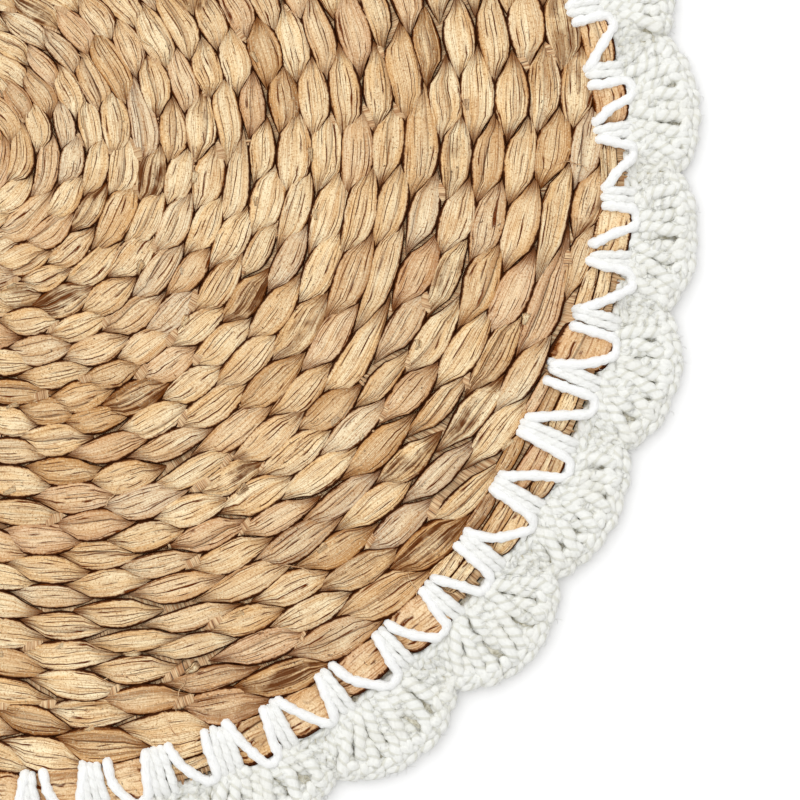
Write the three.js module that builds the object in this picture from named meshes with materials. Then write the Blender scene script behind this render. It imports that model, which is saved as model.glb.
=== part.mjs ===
// Round twined placemat with a crocheted cotton edging, modelled as it lies on a table.
// Units are millimetres, +Z is up, and the origin is the middle of the mat on the table top.
// Angles are in degrees, counter-clockwise seen from above, with 0 along +X.
import * as THREE from "three";

// Driving sizes of the woven disc
const RIM_RADIUS = 167.7; // outer edge of the last woven row
const MAT_THICKNESS = 7.0; // table top to the crest of a row
const ROW_COUNT = 22; // turns of twining inside the border row
const ROWS_RADIUS = 155.6; // where the last plain row meets the border row
const ROW_GROWTH = 1.17; // above 1, rows get wider towards the rim
const GROOVE_DEPTH = 1.5; // how far the top dips between two rows
const SHOULDER = 0.3; // share of a row's width from its groove to its flat crest
const DISC_SEGMENTS = 48;

// Section of the border row, from the table up over the rim. The inset is the distance
// inside the rim radius.
const BORDER_SECTION = [
  { inset: 3, height: 0 },
  { inset: 0.8, height: 1 },
  { inset: 0, height: 2.6 },
  { inset: 0, height: 4 },
  { inset: 1.6, height: 5.6 },
  { inset: 4.5, height: 6.7 },
  { inset: 8.5, height: 6.7 },
];

// The weave starts off centre, and its rows become round again towards the rim
const START_OFFSET_X = -16;
const START_OFFSET_Y = 13.5;
const OFFSET_X_POWER = 1.25;
const OFFSET_Y_REACH = 110; // radius past which no sideways offset is left
const OFFSET_Y_POWER = 1.5;

// The hand-woven rim wanders in and out a little
const RIM_WANDER = [
  { waves: 3, height: 0.7, phase: 40 },
  { waves: 5, height: 0.5, phase: 110 },
];

// Driving sizes of the crocheted edging
const EDGING_GAP = 0.3; // clearance between the edging and the rim it is hooked onto
const SHELL_COUNT = 30;
const SEGMENTS_PER_SHELL = 6;
const COUNT_STEP = 1 / SEGMENTS_PER_SHELL; // shell counts are whole segments
const DRIFT_STEPS = 8; // repeats that settle a drifted direction
const SHELL_FULLNESS = 0.6; // below 1, a shell is fuller than half a sine wave
const SHELL_DIP = 0.35; // share of the height lost between two shells
const SHELL_DIP_POWER = 3; // above 1, the dip stays close to the notch
const SHELL_DRIFT = 2; // degrees by which the shells crowd and spread, twice in a turn

// Section of the edging: across is 0 at the woven rim and 1 at the outermost loops. It
// clasps the rim at its full height, crowns over the posts and thins out to the loops.
const EDGING_SECTION = [
  { across: 0, height: 0 },
  { across: 1, height: 0 },
  { across: 1, height: 1.9 },
  { across: 0.9, height: 3.2 },
  { across: 0.55, height: 4.6 },
  { across: 0.2, height: 4.6 },
  { across: 0, height: 5.2 },
  { across: 0, height: 0 },
];

// Radius at each shell's outermost loop and at the notch before it. The list runs clockwise
// from the shell just below +X, and runs round twice.
const SHELLS = [
  { tip: 188.9, notch: 183.0 },
  { tip: 190.6, notch: 181.6 },
  { tip: 188.7, notch: 182.0 },
  { tip: 191.7, notch: 182.3 },
  { tip: 191.4, notch: 180.8 },
  { tip: 189.8, notch: 183.0 },
  { tip: 190.5, notch: 181.7 },
  { tip: 189.2, notch: 182.1 },
  { tip: 190.9, notch: 183.2 },
  { tip: 190.1, notch: 182.7 },
  { tip: 189.4, notch: 181.9 },
  { tip: 190.7, notch: 183.3 },
  { tip: 189.9, notch: 182.4 },
  { tip: 191.3, notch: 183.1 },
  { tip: 190.6, notch: 184.2 },
];

const TWINE = new THREE.MeshStandardMaterial({ color: 0xc79f66, roughness: 0.75, metalness: 0 });
const COTTON = new THREE.MeshStandardMaterial({ color: 0xe9e8e3, roughness: 0.95, metalness: 0 });

const cosDeg = (degrees) => Math.cos(THREE.MathUtils.degToRad(degrees));
const sinDeg = (degrees) => Math.sin(THREE.MathUtils.degToRad(degrees));
const roundTo = (value, step) => Math.round(value / step) * step;

// Radius of the woven rim in one direction.
function rimRadius(angle) {
  const wander = RIM_WANDER.map((w) => w.height * sinDeg(w.waves * angle + w.phase));
  return RIM_RADIUS + wander.reduce((sum, w) => sum + w, 0);
}

// How far the rings of the weave lie off centre at a given ring radius.
function ringOffset(radius) {
  const left = Math.max(0, 1 - (radius / RIM_RADIUS) ** OFFSET_X_POWER);
  const up = Math.max(0, 1 - radius / OFFSET_Y_REACH) ** OFFSET_Y_POWER;
  return { x: START_OFFSET_X * left, y: START_OFFSET_Y * up };
}

// Radius of the groove that closes a given row, counted from the middle.
function grooveRadius(row) {
  return ROWS_RADIUS * (row / ROW_COUNT) ** ROW_GROWTH;
}

// Half section of the disc: flat below, a rounded rim, one crest for each row above, and a
// small boss in the middle where the first stems cross.
function discSection() {
  const groove = MAT_THICKNESS - GROOVE_DEPTH;
  const border = BORDER_SECTION.map((point) => [RIM_RADIUS - point.inset, point.height]);
  const section = [[0, 0], ...border];
  for (let row = ROW_COUNT; row > 1; row--) {
    const width = grooveRadius(row) - grooveRadius(row - 1);
    section.push([grooveRadius(row), groove]);
    section.push([grooveRadius(row) - SHOULDER * width, MAT_THICKNESS]);
    section.push([grooveRadius(row - 1) + SHOULDER * width, MAT_THICKNESS]);
  }
  section.push([grooveRadius(1), groove]);
  section.push([0, MAT_THICKNESS]);
  return section;
}

// Turns a section of [radius, height] points round the vertical axis.
function turned(section, segments) {
  const points = section.map(([radius, height]) => new THREE.Vector2(radius, height));
  const geometry = new THREE.LatheGeometry(points, segments);
  geometry.rotateX(Math.PI / 2);
  return geometry;
}

// Moves each point of a turned solid to where place(radius, angle, height) puts it.
function reshaped(geometry, place) {
  const position = geometry.getAttribute("position");
  for (let i = 0; i < position.count; i++) {
    const x = position.getX(i);
    const y = position.getY(i);
    const angle = THREE.MathUtils.radToDeg(Math.atan2(y, x));
    const spot = place(Math.hypot(x, y), angle, position.getZ(i));
    position.setXYZ(i, spot.x, spot.y, spot.z);
  }
  geometry.computeVertexNormals();
  return geometry;
}

// The woven disc, one solid.
function makeWovenMat() {
  const disc = turned(discSection(), DISC_SEGMENTS);
  return reshaped(disc, (radius, angle, height) => {
    const share = radius / RIM_RADIUS;
    const stretched = radius + (rimRadius(angle) - RIM_RADIUS) * share ** 2;
    const offset = ringOffset(radius);
    return {
      x: offset.x + stretched * cosDeg(angle),
      y: offset.y + stretched * sinDeg(angle),
      z: height,
    };
  });
}

// Direction of a place on the edging, given as a count of shells clockwise from +X.
function shellAngle(count) {
  const even = (-count * 360) / SHELL_COUNT;
  let angle = even;
  for (let step = 0; step < DRIFT_STEPS; step++) {
    angle = even + SHELL_DRIFT * cosDeg(2 * angle);
  }
  return angle;
}

// Radius of the scalloped outer edge at a place on the edging.
function scallopRadius(count) {
  const index = Math.floor(count);
  const across = count - index;
  const row = (i) => SHELLS[THREE.MathUtils.euclideanModulo(i, SHELLS.length)];
  const notch = THREE.MathUtils.lerp(row(index).notch, row(index + 1).notch, across);
  return notch + (row(index).tip - notch) * sinDeg(180 * across) ** SHELL_FULLNESS;
}

// The crocheted edging, one closed ring of shells.
function makeEdging() {
  const section = EDGING_SECTION.map((point) => [1 + point.across, point.height]);
  const ring = turned(section, SHELL_COUNT * SEGMENTS_PER_SHELL);
  return reshaped(ring, (radius, evenAngle, height) => {
    const count = roundTo((-evenAngle * SHELL_COUNT) / 360, COUNT_STEP);
    const angle = shellAngle(count);
    const across = radius - 1;
    const inner = rimRadius(angle) + EDGING_GAP;
    const reach = THREE.MathUtils.lerp(inner, scallopRadius(count), across);
    const between = 1 - Math.abs(sinDeg(180 * count));
    return {
      x: reach * cosDeg(angle),
      y: reach * sinDeg(angle),
      z: height * (1 - SHELL_DIP * across * between ** SHELL_DIP_POWER),
    };
  });
}

function piece(name, geometry, material) {
  const mesh = new THREE.Mesh(geometry, material);
  mesh.name = name;
  return mesh;
}

const placemat = new THREE.Group();
placemat.add(piece("woven_mat", makeWovenMat(), TWINE));
placemat.add(piece("crochet_edging", makeEdging(), COTTON));

export default placemat;
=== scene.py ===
import math
from collections import namedtuple
from types import SimpleNamespace

import bmesh
import bpy
import numpy as np
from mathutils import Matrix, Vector


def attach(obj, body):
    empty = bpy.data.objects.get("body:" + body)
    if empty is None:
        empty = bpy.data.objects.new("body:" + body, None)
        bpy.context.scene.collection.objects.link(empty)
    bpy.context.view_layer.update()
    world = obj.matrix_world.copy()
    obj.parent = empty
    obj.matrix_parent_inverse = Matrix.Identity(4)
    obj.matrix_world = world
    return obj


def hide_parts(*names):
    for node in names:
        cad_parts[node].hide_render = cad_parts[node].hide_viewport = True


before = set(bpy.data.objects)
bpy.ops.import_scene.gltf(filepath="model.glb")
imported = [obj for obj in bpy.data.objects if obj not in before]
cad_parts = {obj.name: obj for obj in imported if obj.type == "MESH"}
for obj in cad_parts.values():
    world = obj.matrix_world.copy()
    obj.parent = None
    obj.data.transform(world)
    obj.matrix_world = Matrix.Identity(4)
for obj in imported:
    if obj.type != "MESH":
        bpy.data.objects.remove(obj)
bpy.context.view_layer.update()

# Sizes are in millimetres, and angles in degrees. Meshes are made in metres.
MM = 0.001
TURN = 2 * math.pi

# Plan of the woven mat, as in the CAD model.
RIM_RADIUS = 167.7
RIM_WANDER = ((3, 0.7, 40.0), (5, 0.5, 110.0))  # waves in a turn, height and phase
START_OFFSET = (-16.0, 13.5)  # how far the first ring lies off the middle
OFFSET_X_POWER = 1.25
OFFSET_Y_REACH = 110.0
OFFSET_Y_POWER = 1.5
ROW_COUNT = 22
ROWS_RADIUS = 155.6
ROW_GROWTH = 1.17
LAST_ROW_GROWTH = 7.6
LAST_ROW_POWER = 0.4

# The spiral, counted in turns, and the spokes that it crosses.
SPIRAL_START = 0.35
SPIRAL_END = 21.95
SEAM_ANGLE = 30.0  # where each turn starts, clockwise from +X
TAPER_TURNS = 0.07
BORDER_OVERLAP = 0.5
END_STEP = 3.5  # how far the border makes room for the spiral's end
END_STEP_TURNS = 0.03
CROSSING_RADII = (0.0, 27.0, 45.0, 69.0, 95.0, 122.0, 150.0, 160.0)
CROSSING_PITCH = (6.5, 9.9, 11.6, 13.0, 15.4, 15.8, 17.0, 17.3)  # at those radii
LEAST_PITCH = 0.55  # a crossing nearer than this share of the pitch is dropped
FIRST_SPOKE = 40.0
SPOKE_WANDER = 0.35
GAP_LUCK = (0.85, 1.15)  # a new spoke comes more or less in the widest gap
EVEN_STEPS = 6
EVEN_SHARE = 0.3
SETTLE_STEPS = 8  # repeats that settle a place which depends on itself

# Leaves: the half turns of the twined stems, each a domed almond over a plain back.
MAT_MIDDLE = 3.5
LOWEST = 0.06
FRONT_GRID = (14, 8)  # grid cells along and across a leaf
BACK_GRID = (8, 4)
SMALL_GRID = (6, 3)
LEAF_LIFT = 3.35  # how high the leaves' middles stand over the mat's
LEAF_STEEP = 2.85  # how quickly a leaf crosses its row on its way to the next spoke
LEAF_BELLY = 0.07
LEAF_EDGE = 1.13  # how far a leaf's side reaches at most, where 1 is the row's edge
LEAF_EDGE_FALL = 0.80
LEAF_EDGE_SHIFT = 0.22
LEAF_EDGE_SOFTNESS = 0.3
INNER_FULLNESS = 0.14  # how much fuller the first turns' leaves are
FULLNESS_TURNS = 18
THIN_CHANCE = 0.32
THINNING = (0.05, 0.26)
LEAF_WIDTHS = (1.0, 1.17)
LEAF_LENGTHS = (0.92, 1.12)
TIP_DROP = (1.3, 2.0)
TIP_POWER = 3.2
TIP_FLATNESS = 0.45  # how much less a leaf is domed and ridged at its tips
SIDE_DROP = (0.8, 1.2)
SIDE_POWER = (5.0, 10.0)
RIDGES = 3
RIDGE_DEPTH = (-0.10, 0.34)
RIDGE_WIDTH = (0.12, 0.25)
FOLD_CHANCE = 0.3
FOLD_SHARPNESS = (0.4, 1.0)
FOLD_DEPTH = 0.5
FOLD_WIDTH = 0.3
LEAF_FIBRES = 4.7  # the grain's scale across a leaf
GRAIN_LENGTH = 13
GRAIN_SHIFT = (40, 700, 50)  # how far apart two leaves may read the grain
TONE_MIDDLE = 0.3
TONE_SLOPE = 0.5  # how much darker a leaf is for each TONE_REACH that it lies below TONE_LINE
TONE_LINE = -40.0
TONE_REACH = 100.0
OUTER_TONE = 0.1  # and how much more in the outer rows
OUTER_FROM = 110.0
OUTER_WIDTH = 45.0
WEAVE_PIECES = (("weave_inner", 0.0, 14.0), ("weave_middle", 14.0, 18.6), ("weave_outer", 18.6, 30.0))
FLAP_COUNT = 90
FLAP_REACH = 0.055  # in turns, divided by the ring's number
FLAP_SIDES = (0.55, 0.95)
PAD_COUNT = 200
PAD_REACH = 0.09
PAD_SIDES = (0.86, 1.04)

# The border row.
BLOCK_BULGE = 1.9
BLOCK_REACH = 0.42
BLOCK_BACK_REACH = 0.5
BORDER_LAP = 0.7  # how far it reaches under the spiral's last ring
WIDE_BORDER = 11.2  # from this width on, three strips fill it
CUT_CHANCE = 0.6

# Grounds.
GROUND_RISE = 0.7
GROUND_HALF = 0.5  # half its thickness between the ribs
GROUND_EDGE = 157.0
GROUND_EDGE_RISE = 0.8  # how much more it rises outside that radius, under the border row
GROUND_EDGE_WIDTH = 4.0
GROUND_RIBS = 60
RIB_HEIGHT = 0.7
GROUND_STEPS = 360
EDGING_STEPS = 10  # for each shell
EDGING_INSET = 1.3
EDGING_MIDDLE = 2.5
EDGING_HALF = 1.4  # half the ground's thickness

# The crocheted edging, counted in shells clockwise from +X.
EDGING_GAP = 0.3
SHELL_COUNT = 30
SHELL_FULLNESS = 0.6
SHELL_DRIFT = 2.0
SHELLS = (
    (188.9, 183.0), (190.6, 181.6), (188.7, 182.0), (191.7, 182.3), (191.4, 180.8),
    (189.8, 183.0), (190.5, 181.7), (189.2, 182.1), (190.9, 183.2), (190.1, 182.7),
    (189.4, 181.9), (190.7, 183.3), (189.9, 182.4), (191.3, 183.1), (190.6, 184.2),
)  # radius at each shell's tip and at the notch before it; the list runs round twice
POSTS = 6
FOOT_RADIUS = 169.8
POST_INSET = 2.6
POST_BEND = 0.62
POST_FLATNESS = 0.55
POST_BASE = 3.65
POST_ARCH = 0.9
POST_APART = (1.3, 1.6)
POST_TURNS = (0.35, 0.7)
FAN_FOOT = 0.36  # how wide a shell's stitches stand at the foot, in shells
FAN_HEAD = 0.83
FAN_HEAD_START = 0.085  # where the first of their heads stands
BAR_LEVEL = 0.42
BAR_REACH = 2.2
BAR_RISE = 1.5
BAR_DROP = 1.7
BAR_SHARE = 0.4
YARN_HEIGHT = 3.3  # the middle of yarn that lies flat on the ground
RIM_INSET = 2.1
RIM_SPAN = (0.015, 0.985)  # how much of a shell its edge loops take up
RIM_LAP = (-0.15, 1.3)  # a link runs from before its start to past its end
RIM_TUCK = 2.6
HEAD_INSET = 2.8
HEAD_DEPTHS = (2.2, 3.4)
HEAD_HEIGHT = 4.1
CHAIN_RADIUS = 170.3
CHAIN_LINKS = 5  # for each shell
CHAIN_LAP = (-0.15, 1.25)
CHAIN_TUCK = 3.0
TUCK_FROM = 0.9
NOTCH_LOOP = 4.6
NOTCH_HEIGHT = 3.0
NOTCH_STARTS = (170.4, 173.6, 176.8)
NOTCH_STRANDS = ((170.2, 175.5), (172.5, 179.0))
STITCH_PLACES = (0.16, 0.65)
STITCH_SPACING = (2.0, 2.2)
STRAND_COUNTS = (2, 2, 2, 3)
LOOP_CLEARANCE = 0.95  # from the outermost strand of a group to the loop beside it
HALF_SPACING = 1.05
LOOP_REACHES = (2.6, 4.8)
LOOP_WIDTH = 1.9
KNOT_OFFSET = 3.3
KNOT_SIZE = (1.9, 2.0)
KNOT_HEIGHT = 4.6

# Yarns and sticks: how finely each is drawn, its radius, how much painted highlight pales it over
# plain cotton, how deep its plies stand out, and its sides.
Yarn = namedtuple("Yarn", "stations radius bright lumps sides", defaults=(0.0, 0.10, 8))
YARNS = {
    "spoke_ends": Yarn(3, 0.5),
    "stray_fibres": Yarn(12, 0.13),
    "edging_posts": Yarn(17, 1.9),
    "edging_bars": Yarn(8, 1.25),
    "edging_rim": Yarn(10, 1.65),
    "edging_heads": Yarn(8, 1.65),
    "edging_base": Yarn(10, 1.35),
    "edging_notches": Yarn(10, 1.45),
    "edging_stitches": Yarn(32, 1.28, 0.6, 0.08),
    "edging_loops": Yarn(40, 1.45, 1.3, 0.08),
    "edging_knots": Yarn(14, 1.1, 0.2),
    "edging_fuzz": Yarn(4, 0.07, 0.5, 0.10, 3),
}
YARN_PLIES = 2
PLY_LENGTH = 6.0
YARN_ROUGHNESS = 0.03
YARN_END = 0.55  # how thick the ends are, as a share of the yarn
SPLINE_STEPS = 8
FUZZ_COUNT = 6500
FUZZ_STEP = 0.8
FUZZ_INNER = 169.0
FUZZ_PAST = 0.6  # how far past the edge the outermost hairs start
FUZZ_HEIGHT = 6.3
FUZZ_DROP = 2.6
STRIP_ENDS = 10
STRIP_END_LENGTHS = (3.4, 5.0)
STRIP_END_HEIGHT = 5.2
BETWEEN_ENDS = 60
BETWEEN_END_LENGTHS = (2.0, 3.2)
BETWEEN_END_HEIGHT = 6.1
BETWEEN_END_SIDE = 0.78
END_PITCH = 0.9
STRAY_PLACES = ((109.5, -106.5), (50.0, -147.0))
STRAY_COUNT = 26
STRAY_STEP = 2.2
STRAY_HEIGHT = 6.6

# What each set of random draws starts from.
MAT_SEED = 11
EDGING_SEED = 23
PLACES_SEED = 5

# The camera, over the mat's lower right quarter.
CAMERA_X = 106.6
CAMERA_Y = -56.7
CAMERA_WIDTH = 220.3  # what the frame takes in at the height of the weave
CAMERA_LENS = 120.0
CAMERA_SENSOR = 36.0
WEAVE_HEIGHT = 6.0

# The stage, in metres.
FLOOR_REACH = 3
SURROUND_STRENGTH = 0.8
LAMP_WIDTH = 2.2
LAMP_POWER = 18.0
LAMP_PLACE = (-0.45, 0.6, 1.6)
LAMP_AIM = (0.1, -0.05, 0.0)


def make_camera():
    """Straight down on the mat's lower right quarter, as in the photograph."""
    data = bpy.data.cameras.new("photo_camera")
    data.lens = CAMERA_LENS
    data.sensor_width = CAMERA_SENSOR
    data.clip_start = 0.01
    data.clip_end = 20.0
    camera = bpy.data.objects.new("photo_camera", data)
    height = CAMERA_WIDTH * CAMERA_LENS / CAMERA_SENSOR + WEAVE_HEIGHT
    camera.location = (CAMERA_X * MM, CAMERA_Y * MM, height * MM)
    bpy.context.scene.collection.objects.link(camera)
    bpy.context.scene.camera = camera


make_camera()


# Plan of the mat.
def rim_radius(angle):
    """The rim's radius at an angle in radians, counterclockwise from +X."""
    out = np.full_like(np.asarray(angle, float), RIM_RADIUS)
    for waves, height, phase in RIM_WANDER:
        out = out + height * np.sin(waves * angle + math.radians(phase))
    return out


def disc_point(radius, angle):
    """x and y of a ring's point: the inner rings' centres sit off the middle."""
    off_x = START_OFFSET[0] * np.maximum(0, 1 - (radius / RIM_RADIUS) ** OFFSET_X_POWER)
    off_y = START_OFFSET[1] * np.maximum(0, 1 - radius / OFFSET_Y_REACH) ** OFFSET_Y_POWER
    long = radius + (rim_radius(angle) - RIM_RADIUS) * (radius / RIM_RADIUS) ** 2
    return off_x + long * np.cos(angle), off_y + long * np.sin(angle)


def row_edge(turn):
    """The radius of the line between rows after that many turns of the spiral."""
    inner = ROWS_RADIUS * (np.clip(turn, 0, ROW_COUNT) / ROW_COUNT) ** ROW_GROWTH
    return inner + LAST_ROW_GROWTH * np.maximum(0, turn - ROW_COUNT) ** LAST_ROW_POWER


def row_left(turn):
    """The share of its full width that the row still has: it runs out at the spiral's end."""
    return np.clip((SPIRAL_END + 0.5 * TAPER_TURNS - turn) / TAPER_TURNS, 0.15, 1)


def turn_angle(turn):
    """The angle in radians, counterclockwise from +X, of a place counted in turns."""
    return -np.radians(SEAM_ANGLE + 360 * turn)


def spiral_point(turn, side):
    """x and y on the spiral: side is -1 at the row's inner edge and 1 at its outer."""
    inner = row_edge(turn)
    outer = inner + (row_edge(turn + 1) - inner) * row_left(turn)
    return disc_point(inner + (outer - inner) * (side + 1) / 2, turn_angle(turn))


def border_inner(turn):
    """The radius of the border row's inner edge, which follows the spiral's last ring."""
    passed = np.mod(turn - SPIRAL_END, 1.0)
    last = SPIRAL_END - 1 + passed
    inner = row_edge(last) + (row_edge(last + 1) - row_edge(last)) * row_left(last)
    return inner + END_STEP * np.clip(1 - passed / END_STEP_TURNS, 0, 1) - BORDER_OVERLAP


def border_point(turn, side):
    """x and y on the border row, which closes on itself outside the spiral."""
    inner = border_inner(turn)
    return disc_point(inner + (RIM_RADIUS - inner) * (side + 1) / 2, turn_angle(turn))


# Spokes.
def crossing_pitch(radius):
    """How far apart the spiral's crossings are, along a ring of that radius."""
    return np.interp(radius, CROSSING_RADII, CROSSING_PITCH)


def new_spoke(live, level, rng):
    """A spoke in the widest gap between those that are there."""
    if not live:
        return {"first": level, "now": FIRST_SPOKE, "path": {}}
    places = sorted(spoke["now"] for spoke in live)
    places.append(places[0] + 360)
    gaps = [b - a for a, b in zip(places, places[1:])]
    widest = int(np.argmax(np.array(gaps) * rng.uniform(*GAP_LUCK, len(gaps))))
    return {"first": level, "now": places[widest] + gaps[widest] / 2, "path": {}}


def even_out(live):
    """Moves the spokes part of the way to even gaps."""
    order = sorted(live, key=lambda spoke: spoke["now"])
    places = np.array([spoke["now"] for spoke in order])
    for _ in range(EVEN_STEPS):
        before = np.concatenate([[places[-1] - 360], places[:-1]])
        after = np.concatenate([places[1:], [places[0] + 360]])
        places = places + EVEN_SHARE * ((before + after) / 2 - places)
    for spoke, place in zip(order, places):
        spoke["now"] = float(place)


def lay_spokes(rng):
    """The spokes, which get more as the rings widen, each with its angle in every turn."""
    live = []
    for level in range(ROW_COUNT + 1):
        middle = float(row_edge(level + 0.6))
        wanted = max(2, round(TURN * middle / float(crossing_pitch(middle))))
        while len(live) < wanted:
            live.append(new_spoke(live, level, rng))
            even_out(live)
        for spoke in live:
            spoke["path"][level] = spoke["now"] + float(rng.normal(0, SPOKE_WANDER))
    return live


def spoke_crossings(spoke):
    """Where the spiral crosses one spoke, in turns."""
    steps = np.array(sorted(spoke["path"]))
    places = np.array([spoke["path"][step] for step in steps])
    found = []
    for whole in range(-3, ROW_COUNT + 4):
        turn = float(whole)
        for _ in range(SETTLE_STEPS):
            turn = whole + (float(np.interp(turn, steps, places)) - SEAM_ANGLE) / 360
        if max(spoke["first"], SPIRAL_START) <= turn < SPIRAL_END:
            found.append(turn)
    return found


def warp_crossings(rng):
    """Where the spiral crosses the spokes, in turns, without crossings that crowd the last one."""
    found = sorted(turn for spoke in lay_spokes(rng) for turn in spoke_crossings(spoke))
    keep = [found[0]]
    for turn in found[1:]:
        radius = max(4.0, float(row_edge(turn + 0.5)))
        gap = (turn - keep[-1]) * TURN * radius
        if gap > LEAST_PITCH * float(crossing_pitch(radius)):
            keep.append(turn)
    return np.array(keep)


def with_neighbours(centres):
    """The crossings before, at and after each leaf."""
    first = centres[0] - (centres[1] - centres[0])
    last = centres[-1] + (centres[-1] - centres[-2])
    before = np.concatenate([[first], centres[:-1]])
    after = np.concatenate([centres[1:], [last]])
    return before, centres, after


# Blanks and laying copies.
def read_blank(shape):
    """The places and the faces of a finished blank."""
    bmesh.ops.recalc_face_normals(shape, faces=shape.faces)
    shape.verts.index_update()
    places = np.array([v.co[:] for v in shape.verts])
    faces = [[v.index for v in f.verts] for f in shape.faces]
    shape.free()
    return places, faces


def leaf_blank(along, across):
    """A closed almond: a domed grid over a plain back, read as places along and across the leaf."""
    shape = bmesh.new()
    bmesh.ops.create_grid(shape, x_segments=along, y_segments=across, size=1)
    for vert in shape.verts:
        vert.co.z = (1.1 - vert.co.x ** 2) * (1.1 - vert.co.y ** 2)
    sides = [e for e in shape.edges if all(abs(abs(v.co.y) - 1) < 1e-5 for v in e.verts)]
    sides = [e for e in sides if len(e.link_faces) == 1]
    bmesh.ops.bridge_loops(shape, edges=sides)
    ends = [e for e in shape.edges if len(e.link_faces) == 1]
    bmesh.ops.holes_fill(shape, edges=ends, sides=0)
    return read_blank(shape)


def tube_blank(stations, sides):
    """A closed tube whose z is its station and whose turn about z is its side."""
    shape = bmesh.new()
    bmesh.ops.create_circle(shape, cap_ends=True, segments=sides, radius=1)
    face = shape.faces[:][0]
    bottom = face
    for _ in range(stations - 1):
        made = bmesh.ops.extrude_face_region(shape, geom=[face])
        verts = [g for g in made["geom"] if isinstance(g, bmesh.types.BMVert)]
        bmesh.ops.translate(shape, verts=verts, vec=(0, 0, 1))
        tops = [g for g in made["geom"] if isinstance(g, bmesh.types.BMFace)]
        if face is not bottom and face.is_valid:
            bmesh.ops.delete(shape, geom=[face], context="FACES_ONLY")
        face = tops[0]
    return read_blank(shape)


def add_piece(name, mesh):
    mesh.shade_smooth()
    piece = bpy.data.objects.new(name, mesh)
    bpy.context.scene.collection.objects.link(piece)
    return piece


def join_copies(name, points, faces, floats, vectors):
    """One mesh piece of many copies of a blank. points is copies x places x 3, in millimetres."""
    copies, count = points.shape[:2]
    mesh = bpy.data.meshes.new(name)
    sizes = np.array([len(f) for f in faces])
    flat = np.concatenate([np.array(f) for f in faces])
    loops = (flat[None, :] + count * np.arange(copies)[:, None]).ravel()
    starts = np.concatenate([[0], np.cumsum(np.tile(sizes, copies))[:-1]])
    mesh.vertices.add(copies * count)
    mesh.loops.add(len(loops))
    mesh.polygons.add(len(faces) * copies)
    mesh.vertices.foreach_set("co", (points * MM).astype(np.float32).ravel())
    mesh.loops.foreach_set("vertex_index", loops.astype(np.int32))
    mesh.polygons.foreach_set("loop_start", starts.astype(np.int32))
    mesh.update(calc_edges=True)
    for key, values in floats.items():
        layer = mesh.attributes.new(key, "FLOAT", "POINT")
        full = np.broadcast_to(values, (copies, count))
        layer.data.foreach_set("value", full.astype(np.float32).ravel())
    for key, values in vectors.items():
        layer = mesh.attributes.new(key, "FLOAT_VECTOR", "POINT")
        layer.data.foreach_set("vector", values.astype(np.float32).ravel())
    return add_piece(name, mesh)


class Draws:
    """Random numbers for a set of copies: each call draws one for every copy."""

    def __init__(self, rng, copies):
        self.rng = rng
        self.size = (copies, 1)

    def between(self, low, high):
        return self.rng.uniform(low, high, self.size)

    def rarely(self, chance, low, high):
        """Between low and high for some copies, and 0 for the others."""
        return np.where(self.rng.random(self.size) < chance, self.between(low, high), 0)

    def around(self, middle):
        return self.rng.normal(middle, 1, self.size)


# Leaves.
def leaf_side(u, steep):
    """How far the almond reaches across the row at that place along it: 1 is the row's own edge.
    It runs along the leaf beside it, and rounds off where that would carry it past its edge."""
    edge = LEAF_EDGE - LEAF_EDGE_FALL * (u + LEAF_EDGE_SHIFT) ** 2
    sides = np.linspace(2.5, -2.5, 201)
    meets = 0.5 - sides / steep + LEAF_BELLY * np.sin(math.pi * np.clip(sides, 0, 1))
    contact = np.interp(u, meets, sides)
    share = np.clip(0.5 + 0.5 * (contact - edge) / LEAF_EDGE_SOFTNESS, 0, 1)
    return contact + (edge - contact) * share - LEAF_EDGE_SOFTNESS * share * (1 - share)


def leaf_reach(steep):
    """How far the almond runs each way from its middle before its two sides meet."""
    places = np.linspace(0.4, 1.0, 601)
    open_there = leaf_side(places, steep) + leaf_side(-places, steep) > 0.01
    return float(places[open_there].max())


def leaf_outline(s, steep):
    """How far along the almond's places lie, from its head, -1, to its tail, 1, and its two sides there."""
    u = s * leaf_reach(steep)
    return u, leaf_side(u, steep), -leaf_side(-u, steep)


def block_outline(s, steep):
    """A plump block, fuller on its outer side, whose blunt ends go under the stitches beside it."""
    arch = np.sqrt(np.clip(1.0001 - s ** 4, 0, 1))
    return s * steep, 0.35 + 0.72 * arch, -0.55 - 0.45 * arch


def flap_outline(s, steep):
    """A torn sliver with blunt ends."""
    wide = 0.22 - 0.06 * s + 0.06 * np.sin(8 * s)
    return s * steep, wide, -wide


def pad_outline(s, steep):
    """A short pad of spokes with square ends that shows between two leaves."""
    wide = 0.40 + 0.03 * np.sin(5 * s)
    return s * steep, wide, -wide


def leaf_plan(s, t, outline, fuller, draws):
    """Where the leaves' points lie: along the row, 0 at their own spoke and 1 at the next, and
    across it, from -1 to 1. Some leaves are thinner, and all bend a little."""
    u, upper, lower = outline
    half = (upper - lower) / 2 * draws.between(*LEAF_WIDTHS) * fuller
    thin = draws.rarely(THIN_CHANCE, *THINNING)
    lean = np.sign(draws.between(-1, 1))
    middle = (upper + lower) / 2 + lean * thin * 0.6
    side = middle + half * (1 - thin) * t
    side = side + draws.between(-0.06, 0.06) + draws.between(-0.16, 0.16) * u
    for waves, height in ((3, 0.05), (7, 0.04)):
        side = side + draws.between(-height, height) * np.sin(waves * u + draws.between(0, 6.3))
    run = u * draws.between(*LEAF_LENGTHS) * fuller + draws.between(-0.05, 0.05)
    return run, side


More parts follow.
